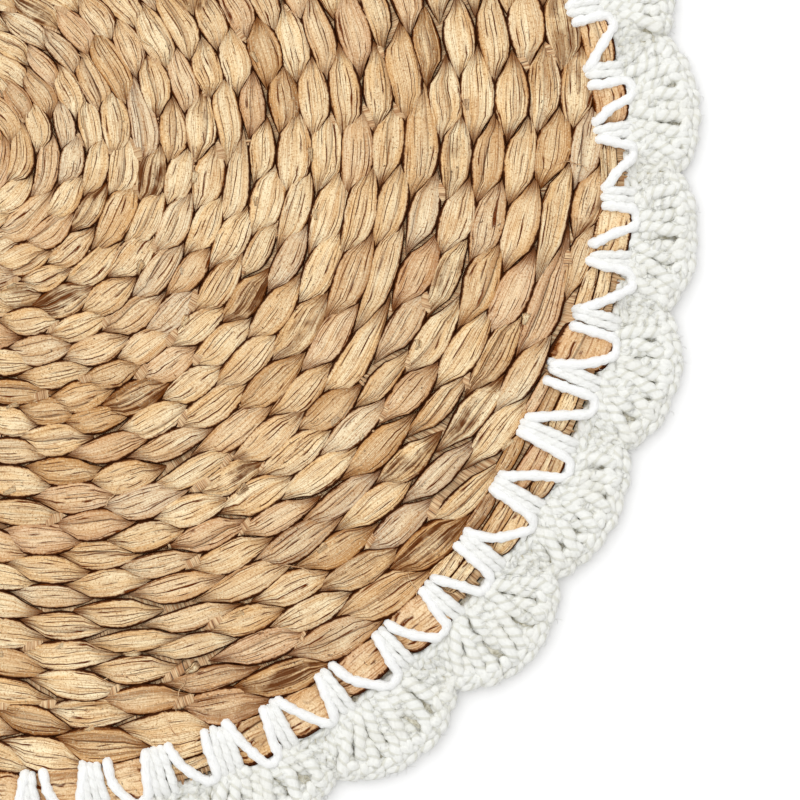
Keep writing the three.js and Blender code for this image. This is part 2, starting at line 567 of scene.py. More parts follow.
def leaf_dome(s, t, lift, draws):
    """How high the leaves' tops stand: low at the tips and the sides, with a few soft ridges."""
    tip = np.abs(s)
    room = 1 - TIP_FLATNESS * tip
    height = LEAF_LIFT + lift - draws.between(*TIP_DROP) * tip ** TIP_POWER
    height = height - draws.between(*SIDE_DROP) * np.abs(t) ** draws.between(*SIDE_POWER) * room
    height = height + draws.between(-0.15, 0.25) + draws.between(-0.30, 0.30) * t * room
    for _ in range(RIDGES):
        line = draws.between(-0.75, 0.75) + draws.between(-0.25, 0.25) * s
        depth = draws.between(*RIDGE_DEPTH) * np.clip(1.15 - np.abs(s - draws.between(-0.8, 0.8)), 0, 1)
        height = height - depth * np.exp(-((t - line) / draws.between(*RIDGE_WIDTH)) ** 2) * room
    return height


def leaf_folds(s, t, draws):
    """How sharply each leaf is folded, and how far its points lie to the open side of the fold."""
    fold = draws.rarely(FOLD_CHANCE, *FOLD_SHARPNESS)
    line = draws.between(-0.6, 0.6) + draws.between(-0.35, 0.35) * s
    return fold, (t - line) * np.sign(draws.between(-1, 1))


def fold_dip(s, fold, off):
    """How deep the fold is: steep on one side and slow on the other, and less at the tips."""
    dip = FOLD_DEPTH * fold * np.exp(-(np.maximum(off, -2.5 * off) / FOLD_WIDTH) ** 2)
    return dip * (1 - TIP_FLATNESS * np.abs(s))


def leaf_tone(x, y, darker, draws):
    """How dark each leaf is: more so at the lower edge of the mat, as in the photograph."""
    outer = np.clip((np.hypot(x, y).mean(axis=1, keepdims=True) - OUTER_FROM) / OUTER_WIDTH, 0, 1)
    low_down = (TONE_LINE - y.mean(axis=1, keepdims=True)) / TONE_REACH
    tone = draws.around(TONE_MIDDLE) + darker + TONE_SLOPE * low_down
    return tone + OUTER_TONE * outer * np.clip(0.5 + low_down, 0, 1)


def lay_leaves(
    name, spots, place, blank, rng, face_up=True, outline=leaf_outline, steep=LEAF_STEEP,
    lift=0.0, lowest=LOWEST, fuller=1.0, darker=0.0, end_shade=1.0, fibres=LEAF_FIBRES, blush=0.0,
):
    """Leaves at spots, which are the turns before, at and after each. An almond runs from the row's
    outer edge to its inner one, clockwise."""
    before, centres, after = (np.reshape(turns, (-1, 1)) for turns in spots)
    places, faces = blank
    s = np.sin(0.5 * math.pi * places[:, 0][None, :])
    t = np.sin(0.5 * math.pi * places[:, 1][None, :])
    draws = Draws(rng, len(centres))
    run, side = leaf_plan(s, t, outline(s, steep), fuller, draws)
    turn = centres + run * np.where(run < 0, centres - before, after - centres)
    x, y = place(turn, side if face_up else -side)
    height = leaf_dome(s, t, lift, draws)
    fold, fold_off = leaf_folds(s, t, draws)
    height = height - fold_dip(s, fold, fold_off)
    z = MAT_MIDDLE + height if face_up else np.maximum(MAT_MIDDLE - height, lowest)
    points = np.stack(np.broadcast_arrays(x, y, z), axis=-1)
    seed = draws.between(0, 1)
    shift = [reach * seed for reach in GRAIN_SHIFT]
    fibre = np.broadcast_arrays(t * fibres + shift[0], s * GRAIN_LENGTH + shift[1], shift[2] + 0 * s)
    floats = {
        "across": np.abs(t) + 0 * s,
        "along": end_shade * np.abs(s) + 0 * t,
        "tone": leaf_tone(x, y, darker, draws),
        "lean": draws.between(-1, 1) * s + draws.between(-1, 1) * t + min(0.0, float(np.min(darker))),
        "hue": draws.around(0) - blush,
        "stain": draws.between(0, 1),
        "fold": fold,
        "fold_off": fold_off,
    }
    return join_copies(name, points, faces, floats, {"fibre": np.stack(fibre, axis=-1)})


# Pieces of the mat.
def weave_pieces(spots, rng):
    """The twined leaves on the mat's face, ring by ring, and those on its back."""
    centres = spots[1]
    front = leaf_blank(*FRONT_GRID)
    pieces = []
    for name, low, high in WEAVE_PIECES:
        use = (centres >= low) & (centres < high)
        fuller = 1 + INNER_FULLNESS * np.clip(1 - centres[use, None] / FULLNESS_TURNS, 0, 1)
        here = [turns[use] for turns in spots]
        pieces.append(lay_leaves(name, here, spiral_point, front, rng, fuller=fuller))
    back = leaf_blank(*BACK_GRID)
    pieces.append(lay_leaves("weave_back", spots, spiral_point, back, rng, face_up=False))
    return pieces


def border_strips(rng):
    """The border row between its stitches. For each strip of stem: where it starts, lies and ends,
    in turns, its inner and outer side, its place in the row, 0 at the spiral and 1 at the rim, and
    1 if cut spokes show outside it."""
    knots = np.array([-math.degrees(float(shell_angle(place))) for place in stitch_places()])
    knots = (knots - SEAM_ANGLE) / 360
    knots = np.concatenate([knots, [knots[0] + 1]])
    rows = []
    for start, end in zip(knots, knots[1:]):
        centre = (start + end) / 2
        width = RIM_RADIUS - float(border_inner(centre))
        lanes = 3 if width > WIDE_BORDER else int(rng.choice([1, 1, 2]))
        cut = lanes > 1 and rng.random() < CUT_CHANCE
        beyond = 2 * BLOCK_BULGE / width
        sides = np.linspace(-1 - 2 * BORDER_LAP / width, 1 - beyond if cut else 1 + beyond, lanes + 1)
        sides[1:-1] += rng.uniform(-0.16, 0.16, lanes - 1)
        for lane in range(lanes):
            outmost = cut and lane == lanes - 1
            rows.append((start, centre, end, sides[lane], sides[lane + 1], lane / max(1, lanes - 1), outmost))
    return np.array(rows, float)


def strip_lane(low, high):
    """A place function for strips that each fill their own share of the border row, from -1 to 1."""

    def place(turn, side):
        return border_point(turn, low + (high - low) * (side + 1) / 2)

    return place


def border_pieces(strips, rng):
    """The border row's strips, and the plain back of the row."""
    start, centre, end, low, high, lane, _ = strips.T
    reach = end - start
    middle_lane = lane[:, None] == 0.5
    face = lay_leaves(
        "border_strips", (centre - reach, centre, centre + reach),
        strip_lane(low[:, None], high[:, None]), leaf_blank(*FRONT_GRID), rng,
        outline=block_outline, steep=BLOCK_REACH, darker=1.1 * middle_lane - 0.3,
        end_shade=0.6, fibres=2.6, blush=1.1,
    )
    first = lane == 0
    back = lay_leaves(
        "border_back", ((centre - reach)[first], centre[first], (centre + reach)[first]),
        border_point, leaf_blank(*BACK_GRID), rng, face_up=False, outline=block_outline,
        steep=BLOCK_BACK_REACH, lowest=1.0, lift=-1.1,
    )
    return [face, back]


def edge_leaves(name, turns, reach, sides, rng, **finish):
    """Small leaves that lie along the lines between rings."""
    near = reach / np.maximum(4, turns)
    edge = rng.choice([-1, 1], (len(turns), 1)) * rng.uniform(*sides, (len(turns), 1))

    def place(turn, side):
        return spiral_point(turn, side + edge)

    spots = (turns - near, turns, turns + near)
    return lay_leaves(name, spots, place, leaf_blank(*SMALL_GRID), rng, steep=1.0, **finish)


def torn_flaps(centres, rng):
    """Slivers of torn skin on the leaves."""
    turns = np.sort(rng.choice(centres[centres > 3], FLAP_COUNT, replace=False)) + 0.002
    return edge_leaves(
        "torn_flaps", turns, FLAP_REACH, FLAP_SIDES, rng, outline=flap_outline, darker=-1.6, lift=0.4
    )


def spoke_pads(spots, rng):
    """Spokes that show in the gaps between leaves."""
    gaps = (spots[1] + spots[2]) / 2
    inside = gaps[(gaps > 3) & (gaps < SPIRAL_END - 1)]
    turns = np.sort(rng.choice(inside, PAD_COUNT, replace=False))
    return edge_leaves("spoke_pads", turns, PAD_REACH, PAD_SIDES, rng, outline=pad_outline, lift=-0.2)


def outward_stick(x, y, long, z, rng):
    """Four knots of a short straight stick that starts at x, y and runs outwards."""
    far = math.hypot(x, y)
    out_x, out_y = x / far, y / far
    lean = rng.uniform(-0.25, 0.25)
    path = []
    for w in np.linspace(0, 1, 4):
        step = long * w
        path.append((x + step * (out_x - lean * out_y), y + step * (out_y + lean * out_x), z - 0.8 * w * w))
    return path


def spoke_ends(strips, rng):
    """Short cut ends of spokes, outside some strips of the border row and between some rings."""
    paths = []
    for start, centre, end, _, high, _, _ in strips[strips[:, -1] > 0]:
        reach = 0.27 * (end - start)
        for turn in np.linspace(centre - reach, centre + reach, STRIP_ENDS):
            x, y = border_point(turn + rng.uniform(-0.0006, 0.0006), high - 0.25)
            long = rng.uniform(*STRIP_END_LENGTHS)
            paths.append(outward_stick(x, y, long, STRIP_END_HEIGHT + rng.uniform(-0.3, 0.4), rng))
    for _ in range(BETWEEN_ENDS):
        turn = rng.uniform(4, SPIRAL_END - 1)
        for k in range(int(rng.integers(2, 4))):
            pitch = END_PITCH / (TURN * float(row_edge(turn + 0.5)))
            x, y = spiral_point(turn + k * pitch, BETWEEN_END_SIDE)
            long = rng.uniform(*BETWEEN_END_LENGTHS)
            paths.append(outward_stick(x, y, long, BETWEEN_END_HEIGHT + rng.uniform(-0.4, 0.3), rng))
    return lay_yarn("spoke_ends", np.array(paths), rng)


def stray_fibres(rng):
    """A few thin loose fibres that lie over the weave, some of them by two of the stitches."""
    places = list(STRAY_PLACES) * 4
    while len(places) < STRAY_COUNT:
        x, y = spiral_point(rng.uniform(6, SPIRAL_END), 0.0)
        places.append((float(x), float(y)))
    paths = []
    for x, y in places:
        x, y = x + rng.uniform(-5, 5), y + rng.uniform(-5, 5)
        way = rng.uniform(0, TURN)
        path = []
        for k in range(6):
            path.append((x, y, STRAY_HEIGHT + 0.6 * math.sin(math.pi * k / 5)))
            x, y = x + STRAY_STEP * math.cos(way), y + STRAY_STEP * math.sin(way)
            way += rng.uniform(-0.7, 0.7)
        paths.append(path)
    return lay_yarn("stray_fibres", np.array(paths), rng)


# Grounds.
def spun_ground(name, section, closed, steps, place):
    """A thin sheet: a section of (radius, height) points spun about z, and laid out by place."""
    shape = bmesh.new()
    ring = [shape.verts.new((radius, 0, height)) for radius, height in section]
    for a, b in zip(ring, ring[1:]):
        shape.edges.new((a, b))
    if closed:
        shape.edges.new((ring[-1], ring[0]))
    bmesh.ops.spin(
        shape, geom=shape.verts[:] + shape.edges[:], cent=(0, 0, 0), axis=(0, 0, 1),
        angle=TURN, steps=steps, use_merge=True, use_duplicate=False,
    )
    bmesh.ops.remove_doubles(shape, verts=shape.verts, dist=1e-4)
    bmesh.ops.recalc_face_normals(shape, faces=shape.faces)
    flat = np.array([v.co[:] for v in shape.verts])
    radius = np.hypot(flat[:, 0], flat[:, 1])
    angle = np.arctan2(flat[:, 1], flat[:, 0])
    for vert, spot in zip(shape.verts, place(radius, angle, flat[:, 2])):
        vert.co = spot * MM
    bmesh.ops.recalc_face_normals(shape, faces=shape.faces)
    mesh = bpy.data.meshes.new(name)
    shape.to_mesh(mesh)
    shape.free()
    return add_piece(name, mesh)


def warp_ground():
    """The mat's ground: the bundle of spokes, as a thin ribbed disc at half depth."""
    radii = np.concatenate([[0.0], np.linspace(6, 156, 20), np.linspace(160, RIM_RADIUS - 0.2, 4)])
    section = [(radius, 1) for radius in radii] + [(radius, -1) for radius in radii[::-1]]

    def place(radius, angle, face):
        x, y = disc_point(radius, angle)
        rib = np.abs(np.sin(angle * GROUND_RIBS)) * RIB_HEIGHT
        edge = np.clip((RIM_RADIUS - 0.5 - radius) / 8, 0.4, 1)
        outside = np.clip((radius - GROUND_EDGE) / GROUND_EDGE_WIDTH, 0, 1)
        rise = (GROUND_RISE + GROUND_EDGE_RISE * outside) * (face > 0)
        return np.stack([x, y, MAT_MIDDLE + face * (GROUND_HALF + rib) * edge + rise], axis=-1)

    return spun_ground("mat_ground", section, False, GROUND_STEPS, place)


def edging_ground():
    """The edging's ground: a thin scalloped ring that the yarn lies on."""
    section = [(1 + across, face) for across, face in (
        (0, 1), (0.33, 1), (0.66, 1), (1, 1), (1, -1), (0.5, -1), (0, -1)
    )]

    def place(radius, turned, face):
        count = np.mod(turned, TURN) / TURN * SHELL_COUNT
        angle = shell_angle(count)
        inner = rim_radius(angle) + EDGING_GAP
        outer = scallop_radius(count) - EDGING_INSET
        height = EDGING_MIDDLE + EDGING_HALF * face
        return polar(inner + (outer - inner) * (radius - 1), angle, height)

    return spun_ground("edging_ground", section, True, SHELL_COUNT * EDGING_STEPS, place)


# Plan of the edging.
def shell_angle(count):
    """The angle in radians, counterclockwise from +X, of a place counted in shells clockwise."""
    even = -np.asarray(count, float) * 360 / SHELL_COUNT
    angle = even
    for _ in range(SETTLE_STEPS):
        angle = even + SHELL_DRIFT * np.cos(np.radians(2 * angle))
    return np.radians(angle)


def scallop_radius(count):
    """The radius of the edging's outer edge at a place counted in shells."""
    whole = np.floor(count).astype(int)
    part = count - whole
    tips = np.array([s[0] for s in SHELLS])
    notches = np.array([s[1] for s in SHELLS])
    here = notches[whole % len(SHELLS)]
    after = notches[(whole + 1) % len(SHELLS)]
    notch = here + (after - here) * part
    return notch + (tips[whole % len(SHELLS)] - notch) * np.sin(math.pi * part) ** SHELL_FULLNESS


def polar(radius, angle, z):
    radius, angle, z = np.broadcast_arrays(radius, angle, z)
    return np.stack([radius * np.cos(angle), radius * np.sin(angle), z], axis=-1)


# Yarn.
def spline_point(a, b, c, d, w):
    """The point at share w from b to c, on a smooth curve through a, b, c and d."""
    square = 2 * a - 5 * b + 4 * c - d
    cube = 3 * b - a - 3 * c + d
    return 0.5 * (2 * b + (c - a) * w + square * w * w + cube * w ** 3)


def smooth_paths(knots, stations):
    """Evenly spaced stations on smooth curves through each run's knots, and the curves' lengths."""
    first = 2 * knots[:, :1] - knots[:, 1:2]
    last = 2 * knots[:, -1:] - knots[:, -2:-1]
    ends = np.concatenate([first, knots, last], axis=1)
    parts = []
    for i in range(knots.shape[1] - 1):
        for w in np.arange(SPLINE_STEPS) / SPLINE_STEPS:
            parts.append(spline_point(*(ends[:, i + k] for k in range(4)), w))
    parts.append(knots[:, -1])
    curve = np.stack(parts, axis=1)
    steps = np.linalg.norm(np.diff(curve, axis=1), axis=2)
    length = np.concatenate([np.zeros((len(knots), 1)), np.cumsum(steps, axis=1)], axis=1)
    line = np.empty((len(knots), stations, 3))
    for run, (measured, points) in enumerate(zip(length, curve)):
        want = np.linspace(0, measured[-1], stations)
        for k in range(3):
            line[run, :, k] = np.interp(want, measured, points[:, k])
    return line, length[:, -1]


def yarn_frames(line):
    """Two directions across each run at each station, carried along it without a twist."""
    tangent = np.gradient(line, axis=1)
    tangent /= np.linalg.norm(tangent, axis=2, keepdims=True) + 1e-12
    side = np.cross(tangent[:, 0], np.array([0.0, 0.0, 1.0]))
    upright = np.linalg.norm(side, axis=1) < 0.2
    side[upright] = np.cross(tangent[upright, 0], np.array([1.0, 0.0, 0.0]))
    side /= np.linalg.norm(side, axis=1, keepdims=True)
    sides = [side]
    for i in range(1, line.shape[1]):
        side = side - tangent[:, i] * (side * tangent[:, i]).sum(1, keepdims=True)
        side /= np.linalg.norm(side, axis=1, keepdims=True)
        sides.append(side)
    sides = np.stack(sides, axis=1)
    return sides, np.cross(sides, tangent)


def lay_yarn(name, knots, rng):
    """Yarn of two soft plies swept along each run of knots."""
    yarn = YARNS[name]
    places, faces = tube_blank(yarn.stations, yarn.sides)
    station = np.rint(places[:, 2]).astype(int)
    around = np.arctan2(places[:, 1], places[:, 0])
    line, length = smooth_paths(knots, yarn.stations)
    sides, ups = yarn_frames(line)
    seed = rng.random((len(line), 1))
    run_along = length[:, None] * station[None, :] / (yarn.stations - 1)
    twist = TURN * run_along / PLY_LENGTH
    ply = np.cos(YARN_PLIES * (around[None, :] - twist))
    at_end = (station == 0) | (station == yarn.stations - 1)
    taper = np.where(at_end, YARN_END, 1.0)[None, :]
    fuzz = rng.normal(0, YARN_ROUGHNESS, ply.shape)
    swell = 1 + 0.08 * np.sin(run_along * 1.1 + 30 * seed) + 0.05 * np.sin(run_along * 2.7 + 50 * seed)
    thick = yarn.radius * taper * (1 + yarn.lumps * ply + fuzz) * swell
    across = np.cos(around)[None, :, None] * sides[:, station]
    upward = np.sin(around)[None, :, None] * ups[:, station]
    points = line[:, station] + (across + upward) * thick[..., None]
    strand = np.broadcast_arrays(np.cos(around)[None, :], np.sin(around)[None, :], run_along)
    floats = {"seed": 60 * seed, "bright": np.full((len(line), 1), yarn.bright)}
    return join_copies(name, points, faces, floats, {"strand": np.stack(strand, axis=-1)})


# Pieces of the edging. A run is the knots of one strand, and w is the share of the way along it.
def post_ends(rng):
    """Where each tall stitch's foot and head are, counted in shells."""
    feet, heads = [], []
    for shell in range(SHELL_COUNT):
        middle = shell + 0.5 + rng.uniform(-0.03, 0.03)
        for j in range(POSTS):
            f = (j + rng.uniform(-0.12, 0.12)) / (POSTS - 1)
            feet.append(middle + (f - 0.5) * FAN_FOOT)
            heads.append(shell + FAN_HEAD_START + FAN_HEAD * f)
    return np.array(feet), np.array(heads)


def post_place(foot, head, w):
    """The radius and angle of the tall stitches at share w from foot to head."""
    top = scallop_radius(head) - POST_INSET
    angle = shell_angle(foot + (head - foot) * w ** POST_BEND)
    return FOOT_RADIUS + (top - FOOT_RADIUS) * w, angle


def post_crown(base, w):
    return base + POST_ARCH * math.sin(math.pi * (0.1 + 0.7 * w))


def crochet_posts(rng):
    """Tall stitches that fan from each shell's foot: two strands twisted together, which part
    towards the edge."""
    foot, head = post_ends(rng)
    many = len(foot)
    apart = rng.uniform(*POST_APART, many)
    phase = rng.uniform(0, TURN, many)
    turns = rng.uniform(*POST_TURNS, many)
    knots = []
    for strand in (0, 1):
        run = []
        for w in np.linspace(0, 1, 9):
            radius, angle = post_place(foot, head, w)
            turn = phase + math.pi * strand + TURN * turns * w
            loose = apart * (0.85 + 0.45 * w)
            lift = POST_FLATNESS * loose * np.sin(turn)
            wobble = rng.uniform(-0.2, 0.2, many)
            swing = loose * np.cos(turn) + wobble
            run.append(polar(radius + wobble, angle + swing / radius, post_crown(POST_BASE, w) + lift))
        knots.append(np.stack(run, axis=1))
    return lay_yarn("edging_posts", np.concatenate(knots), rng)


def crochet_bars(rng):
    """A short slanting wrap across some of the tall stitches."""
    foot, head = post_ends(rng)
    many = len(foot)
    level = BAR_LEVEL + rng.uniform(-0.07, 0.07, many)
    slope = rng.uniform(0.05, 0.13, many)
    high = rng.uniform(-0.35, 0.25, many)
    run = []
    for w in np.linspace(-1, 1, 5):
        radius, angle = post_place(foot, head, level + slope * w)
        height = post_crown(YARN_HEIGHT, BAR_LEVEL) + BAR_RISE + high - BAR_DROP * w * w
        run.append(polar(radius, angle + w * BAR_REACH / radius, height))
    some = rng.random(many) < BAR_SHARE
    return lay_yarn("edging_bars", np.stack(run, axis=1)[some], rng)


def notch_loop(shell, lane, start, rng):
    """The two legs of one small V loop on the line out to a notch."""
    jitter = rng.uniform(-0.25, 0.25, 3)
    angle = float(shell_angle(shell + 0.04 * jitter[1]))
    runs = []
    for leg in (-1, 1):
        run = []
        for w in np.linspace(0, 1, 6):
            radius = start + NOTCH_LOOP * w + jitter[0]
            swing = leg * (0.45 + 1.05 * math.sin(math.pi * w ** 0.8))
            height = NOTCH_HEIGHT + 0.5 * math.sin(math.pi * w) + 0.2 * lane
            height += 0.3 * jitter[2] - 0.9 * (1 - w) ** 3
            run.append(polar(radius, angle + swing / radius, height))
        runs.append(run)
    return runs


def notch_strand(shell, side, lane, rng):
    """A short strand beside the line out to a notch."""
    low, high = NOTCH_STRANDS[lane]
    reach = (0.15 - 0.04 * lane) * side
    bend = rng.uniform(0.01, 0.035) * side
    run = []
    for w in np.linspace(0, 1, 6):
        count = shell + reach * (1 - 0.62 * w) + bend * math.sin(math.pi * w)
        height = NOTCH_HEIGHT + 0.2 + 0.9 * math.sin(math.pi * w) + 0.15 * lane
        run.append(polar(low + (high - low) * w, float(shell_angle(count)), height))
    return run


def crochet_notches(rng):
    """The short stitches between two shells."""
    runs = []
    for shell in range(SHELL_COUNT):
        for lane, start in enumerate(NOTCH_STARTS):
            runs += notch_loop(shell, lane, start, rng)
        for side in (-1, 1):
            runs += [notch_strand(shell, side, lane, rng) for lane in range(len(NOTCH_STRANDS))]
    return lay_yarn("edging_notches", np.array(runs), rng)


def rim_link(shell, a, b, rng):
    """The two legs of one loop of a shell's edge, from a to b."""
    jitter = rng.uniform(-0.35, 0.35, 5)
    tilt = rng.uniform(-1.3, 0.7)
    legs = []
    for leg in (-1, 1):
        run = []
        for w in np.linspace(*RIM_LAP, 7):
            count = a + (b - a) * w
            inside = shell + min(max(count - shell, 0.03), 0.97)
            bow = math.sin(math.pi * min(max(w, 0), 1))
            radius = float(scallop_radius(np.array(inside))) - RIM_INSET
            radius += leg * (0.35 + 0.85 * bow) + jitter[leg + 1] + tilt * (w - 0.5)
            height = YARN_HEIGHT + 0.7 * bow - 0.45 * leg + jitter[3]
            height -= RIM_TUCK * max(0, w - TUCK_FROM)
            run.append(polar(radius, float(shell_angle(count)), height))
        legs.append(run)
    return legs


def crochet_rim(rng):
    """The loops along each shell's edge, one over each tall stitch and one more."""
    runs = []
    for shell in range(SHELL_COUNT):
        ends = shell + np.linspace(*RIM_SPAN, POSTS + 2)
        for a, b in zip(ends, ends[1:]):
            runs += rim_link(shell, a, b, rng)
    return lay_yarn("edging_rim", np.array(runs), rng)


def head_loop(count, rng):
    """The two legs of the small open V at the head of one tall stitch."""
    edge = float(scallop_radius(np.array(count)))
    angle = float(shell_angle(count))
    deep = rng.uniform(*HEAD_DEPTHS)
    lean = rng.uniform(-0.5, 0.5)
    high = rng.uniform(-0.3, 0.3)
    legs = []
    for leg in (-1, 1):
        run = []
        for w in np.linspace(0, 1, 6):
            radius = edge - HEAD_INSET - deep * (1 - w)
            swing = lean * (1 - w) + leg * (0.5 + 1.75 * w ** 0.8)
            arch = 1.1 * math.sin(math.pi * (0.15 + 0.7 * w))
            run.append(polar(radius, angle + swing / radius, HEAD_HEIGHT + high + arch - 1.2 * w ** 3))
        legs.append(run)
    return legs


def crochet_heads(rng):
    """The heads of the tall stitches, just inside the edge loops."""
    runs = []
    for shell in range(SHELL_COUNT):
        for j in range(POSTS):
            f = (j + 0.5 * rng.uniform(0.4, 1.6)) / POSTS
            runs += head_loop(shell + 0.06 + 0.88 * f, rng)
    return lay_yarn("edging_heads", np.array(runs), rng)


def chain_link(link, rng):
    """The two legs of one link of the chain round the rim."""
    jitter = rng.uniform(-0.4, 0.4, 4)
    legs = []
    for leg in (-1, 1):
        run = []
        for w in np.linspace(*CHAIN_LAP, 7):
            bow = math.sin(math.pi * min(max(w, 0), 1))
            radius = CHAIN_RADIUS + leg * (0.3 + 0.95 * bow) + jitter[0] + jitter[3] * w
            height = YARN_HEIGHT + 0.9 * bow + 0.8 * jitter[1] - CHAIN_TUCK * max(0, w - TUCK_FROM)
            run.append(polar(radius, float(shell_angle((link + w) / CHAIN_LINKS)), height))
        legs.append(run)
    return legs


def crochet_base(rng):
    """The chain round the mat's rim that the shells are worked on."""
    runs = []
    for link in range(SHELL_COUNT * CHAIN_LINKS):
        runs += chain_link(link, rng)
    return lay_yarn("edging_base", np.array(runs), rng)


def stitch_places():
    """Where each group of stitches over the rim sits, counted in shells."""
    rng = np.random.default_rng(PLACES_SEED)
    places = []
    for shell in range(SHELL_COUNT):
        places += [shell + place + rng.uniform(-0.03, 0.03) for place in STITCH_PLACES]
    return np.array(places)


def stitch_spots(rng):
    """For each group of stitches: its angle, the rim's radius there, how deep it reaches over the
    border row, how much it slants and its number of strands."""
    spots = []
    for place in stitch_places():
        angle = float(shell_angle(place))
        rim = float(rim_radius(angle))
        turn = (-math.degrees(angle) - SEAM_ANGLE) / 360
        deep = rim - float(border_inner(turn)) + rng.uniform(-0.6, 1.3)
        slant = rng.uniform(-1.2, 1.2)
        count = int(rng.choice(STRAND_COUNTS))
        spots.append(SimpleNamespace(angle=angle, rim=rim, deep=deep, slant=slant, count=count))
    return spots


def clasp_path(rim, deep, high):
    """Once round the border row: radius, how wide the strands spread there, and height."""
    return (
        (rim + 4.0, 1.0, 2.4), (rim + 2.4, 1.1, 4.7), (rim - 0.6, 1.1, 6.3 + high),
        (rim - deep * 0.5, 1.0, 6.9 + high), (rim - deep + 1.0, 0.85, 6.7 + high),
        (rim - deep, 0.8, 4.4), (rim - deep + 0.6, 0.8, 2.3), (rim - deep * 0.5, 1.0, 1.8),
        (rim - 0.8, 1.0, 1.8), (rim + 1.9, 1.0, 1.9), (rim + 3.0, 1.0, 3.0),
    )


def crochet_stitches(spots, rng):
    """Two or three strands at each spot, which go right round the border row."""
    runs = []
    for spot in spots:
        for k in range(spot.count):
            off = (k - (spot.count - 1) / 2) * rng.uniform(*STITCH_SPACING)
            here = spot.deep + rng.uniform(-0.9, 0.6)
            high = rng.uniform(0, 0.3)
            run = []
            for radius, wide, z in clasp_path(spot.rim, here, high):
                slant = spot.slant * (spot.rim - radius) / spot.deep
                shift = off * wide + slant + rng.uniform(-0.15, 0.15)
                run.append(polar(radius, spot.angle - shift / radius, z))
            runs.append(run)
    return lay_yarn("edging_stitches", np.array(runs), rng)


def loop_path(spot, after, gap, rng):
    """One long strand from the top of a group, out over the rim and back in to the next group:
    radius, shift along the rim, and height."""
    high = rng.uniform(0.1, 0.5)
    start = HALF_SPACING * spot.count + LOOP_CLEARANCE + rng.uniform(-0.15, 0.15)
    finish = gap - HALF_SPACING * after.count - LOOP_CLEARANCE - rng.uniform(-0.15, 0.15)
    lean = start + rng.uniform(0.0, 0.9)
    turn = lean + rng.uniform(1.6, 4.0)
    reach = rng.uniform(*LOOP_REACHES)
    back = turn + LOOP_WIDTH
    half = back + (finish - back) * rng.uniform(0.40, 0.85)
    rim, deep, next_deep = spot.rim, spot.deep, after.deep
    return (
        (rim - deep + 1.0, 0.8 * start - spot.slant, 2.9),
        (rim - deep + 0.1, 0.8 * start - spot.slant, 5.2),
        (rim - deep + 1.4, 0.85 * start - spot.slant * 0.85, 6.9 + high),
        (rim - deep * 0.5, start - spot.slant * 0.5, 7.2 + high),
        (rim - 0.3, lean, 6.6 + high),
        (rim + reach * 0.7, lean + 0.5, 6.1),
        (rim + reach, turn, 5.5),
        (rim + reach * 0.6, back, 6.2),
        (rim - next_deep * 0.35, half, 6.9 + high),
        (rim - next_deep + 1.4, finish - after.slant * 0.85, 7.0 + high),
        (rim - next_deep + 0.1, finish + 0.5 - after.slant, 5.2),
        (rim - next_deep + 1.0, finish + 0.5, 2.9),
    )


def crochet_loops(spots, rng):
    """The long strands that zigzag along the rim from each group of stitches to the next."""
    runs = []
    for spot, after in zip(spots, spots[1:] + spots[:1]):
        ahead = after.angle - TURN if after.angle > spot.angle else after.angle
        path = loop_path(spot, after, (spot.angle - ahead) * spot.rim, rng)
        run = []
        for radius, shift, z in path:
            run.append(polar(radius, spot.angle - (shift + rng.uniform(-0.2, 0.2)) / spot.rim, z))
        runs.append(run)
    return lay_yarn("edging_loops", np.array(runs), rng)


def crochet_knots(spots, rng):
    """The small ring of yarn that each group of stitches comes out of."""
    runs = []
    for spot in spots:
        tilt = rng.uniform(-0.6, 0.6)
        run = []
        for w in np.linspace(0, 1, 8):
            bend = TURN * (w * 0.85 + 0.1)
            radius = spot.rim + KNOT_OFFSET + KNOT_SIZE[0] * math.cos(bend)
            swing = KNOT_SIZE[1] * math.sin(bend) + tilt
            height = KNOT_HEIGHT + 0.7 * math.cos(bend + 0.6)
            run.append(polar(radius, spot.angle + swing / spot.rim, height))
        runs.append(run)
    return lay_yarn("edging_knots", np.array(runs), rng)


def edging_fuzz(rng):
    """Fine loose cotton hairs over the edging and out past its edge."""
    count = rng.uniform(0, SHELL_COUNT, FUZZ_COUNT)
    share = rng.uniform(0, 1, FUZZ_COUNT) ** 0.7
    radius = FUZZ_INNER + (scallop_radius(count) + FUZZ_PAST - FUZZ_INNER) * share
    angle = shell_angle(count)
    high = FUZZ_HEIGHT - FUZZ_DROP * share ** 6 + rng.uniform(-1.0, 0.3, FUZZ_COUNT)
    way = rng.uniform(0, TURN, FUZZ_COUNT)
    bend = rng.uniform(-1.3, 1.3, FUZZ_COUNT)
    x, y = radius * np.cos(angle), radius * np.sin(angle)
    path = []
    for k in range(4):
        path.append(np.stack([x, y, high + 0.35 * math.sin(math.pi * k / 3)], axis=-1))
        x, y = x + FUZZ_STEP * np.cos(way), y + FUZZ_STEP * np.sin(way)
        way = way + bend
    return lay_yarn("edging_fuzz", np.stack(path, axis=1), rng)


# Materials.
def linear(red, green, blue):
    """A colour from its screen values, 0 to 255."""
    out = []
    for part in (red, green, blue):
        value = part / 255
        out.append(value / 12.92 if value < 0.04045 else ((value + 0.055) / 1.055) ** 2.4)
    return (*out, 1.0)


